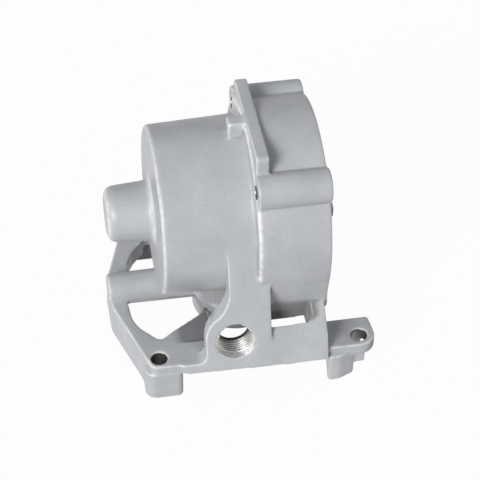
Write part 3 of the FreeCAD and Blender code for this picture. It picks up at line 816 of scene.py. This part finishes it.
# %% Ride, slot and replace
casting.data.materials.clear()
casting.data.materials.append(cast_finish())
thread.data.materials.append(cut_metal())
for piece in (casting, thread):
    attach(piece, "root")
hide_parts("housing")

# %% [markdown]
# ## Floor
#
# A white sheet under the part. To the camera, and in reflections, it is almost
# only glow, so it stays white. To everything else it is a pale diffuse surface,
# which throws a little light back at the underside and keeps a faint shadow.

# %% Floor
FLOOR_HALF = 6.0                # in metres, so its edge is never in view
GLOW_SHARE = 0.97               # the rest takes light, which keeps the shadow


def white_stage():
    """A floor that is white to the camera and pale to everything else."""
    material = bpy.data.materials.new("white_stage")
    material.use_nodes = True
    tree = material.node_tree
    tree.nodes.clear()
    link = tree.links.new
    path = add(tree, "ShaderNodeLightPath")
    diffuse = add(tree, "ShaderNodeBsdfDiffuse", Color=(0.5, 0.5, 0.5, 1))
    glow = add(tree, "ShaderNodeEmission", Strength=1.0)
    seen = add(tree, "ShaderNodeMath", operation="MAXIMUM")
    link(path.outputs["Is Camera Ray"], seen.inputs[0])
    link(path.outputs["Is Glossy Ray"], seen.inputs[1])
    also = add(tree, "ShaderNodeMath", operation="MAXIMUM")
    link(seen.outputs[0], also.inputs[0])
    link(path.outputs["Is Transmission Ray"], also.inputs[1])
    share = add(tree, "ShaderNodeMath", operation="MULTIPLY")
    share.inputs[1].default_value = GLOW_SHARE
    link(also.outputs[0], share.inputs[0])
    mix = add(tree, "ShaderNodeMixShader")
    link(share.outputs[0], mix.inputs[0])
    link(diffuse.outputs[0], mix.inputs[1])
    link(glow.outputs[0], mix.inputs[2])
    link(mix.outputs[0], add(tree, "ShaderNodeOutputMaterial").inputs["Surface"])
    return material


ground = bpy.data.meshes.new("floor")
ground.from_pydata([(x, y, low[2]) for x, y in
                    ((-FLOOR_HALF, -FLOOR_HALF), (FLOOR_HALF, -FLOOR_HALF),
                     (FLOOR_HALF, FLOOR_HALF), (-FLOOR_HALF, FLOOR_HALF))],
                   [], [(0, 1, 2, 3)])
ground.materials.append(white_stage())
floor = new_piece("floor", ground)

# %% [markdown]
# ## World and lamp
#
# The world is white where the camera looks into it and an even, faintly blue grey
# for the light it gives, which fills the shaded sides. One wide soft lamp from the
# front left gives the bright left faces. Its width, in degrees, softens the
# shadows as a large lamp near the part would.

# %% World
FILL = 0.42
world = bpy.data.worlds.new("studio")
bpy.context.scene.world = world
world.use_nodes = True
sky = world.node_tree
sky.nodes.clear()
path = add(sky, "ShaderNodeLightPath")
fill = add(sky, "ShaderNodeBackground", Color=(0.97, 0.985, 1.0, 1), Strength=FILL)
white = add(sky, "ShaderNodeBackground", Color=(1, 1, 1, 1), Strength=1.0)
choose = add(sky, "ShaderNodeMixShader")
seen = add(sky, "ShaderNodeMath", operation="MAXIMUM")
sky.links.new(path.outputs["Is Camera Ray"], seen.inputs[0])
sky.links.new(path.outputs["Is Transmission Ray"], seen.inputs[1])
sky.links.new(seen.outputs[0], choose.inputs[0])
sky.links.new(fill.outputs[0], choose.inputs[1])
sky.links.new(white.outputs[0], choose.inputs[2])
sky.links.new(choose.outputs[0],
              add(sky, "ShaderNodeOutputWorld").inputs["Surface"])

# %% Lamps
def soft_sun(name, azimuth, elevation, strength, width):
    """A far lamp. Azimuth turns from -Y towards -X, all angles in degrees."""
    lamp = bpy.data.lights.new(name, "SUN")
    lamp.energy = strength
    lamp.angle = math.radians(width)
    holder = bpy.data.objects.new(name, lamp)
    bpy.context.scene.collection.objects.link(holder)
    holder.rotation_euler = (math.radians(90 - elevation), 0, math.radians(-azimuth))
    return holder


soft_sun("key", 43, 29, 2.85, 24)

# %% [markdown]
# ## Camera
#
# The camera stands in front, a little to the left and well above, far enough away
# that near and far edges hardly differ in size. It is set by three angles, its
# distance, and the place beside the origin that it looks at.

# %% Camera
HEADING = math.radians(10.3515)
ELEVATION = math.radians(42.7557)
ROLL = math.radians(0.69)
DISTANCE = 975.064 * MM
AIM = np.array([-40.620, -26.589]) * MM      # looked at: right of the origin, and up
FOCAL_LENGTH = 131.246          # in mm, as the sensor's width
SENSOR = 36.0
look = np.array([math.sin(HEADING) * math.cos(ELEVATION),
                 math.cos(HEADING) * math.cos(ELEVATION), -math.sin(ELEVATION)])
level = np.array([math.cos(HEADING), -math.sin(HEADING), 0.0])
upright = np.cross(level, look)
right = level * math.cos(ROLL) + upright * math.sin(ROLL)
up = -level * math.sin(ROLL) + upright * math.cos(ROLL)
eye = right * AIM[0] + up * AIM[1] - look * DISTANCE
lens = bpy.data.cameras.new("camera")
lens.lens = FOCAL_LENGTH
lens.sensor_width = SENSOR
camera = bpy.data.objects.new("camera", lens)
bpy.context.scene.collection.objects.link(camera)
turn = np.eye(4)
turn[:3, 0], turn[:3, 1], turn[:3, 2], turn[:3, 3] = right, up, -look, eye
camera.matrix_world = Matrix(turn.tolist())
bpy.context.scene.camera = camera

# %% [markdown]
# ## Colour
#
# The standard view keeps the paint's greys as they are set.

# %% Colour
bpy.context.scene.view_settings.view_transform = "Standard"
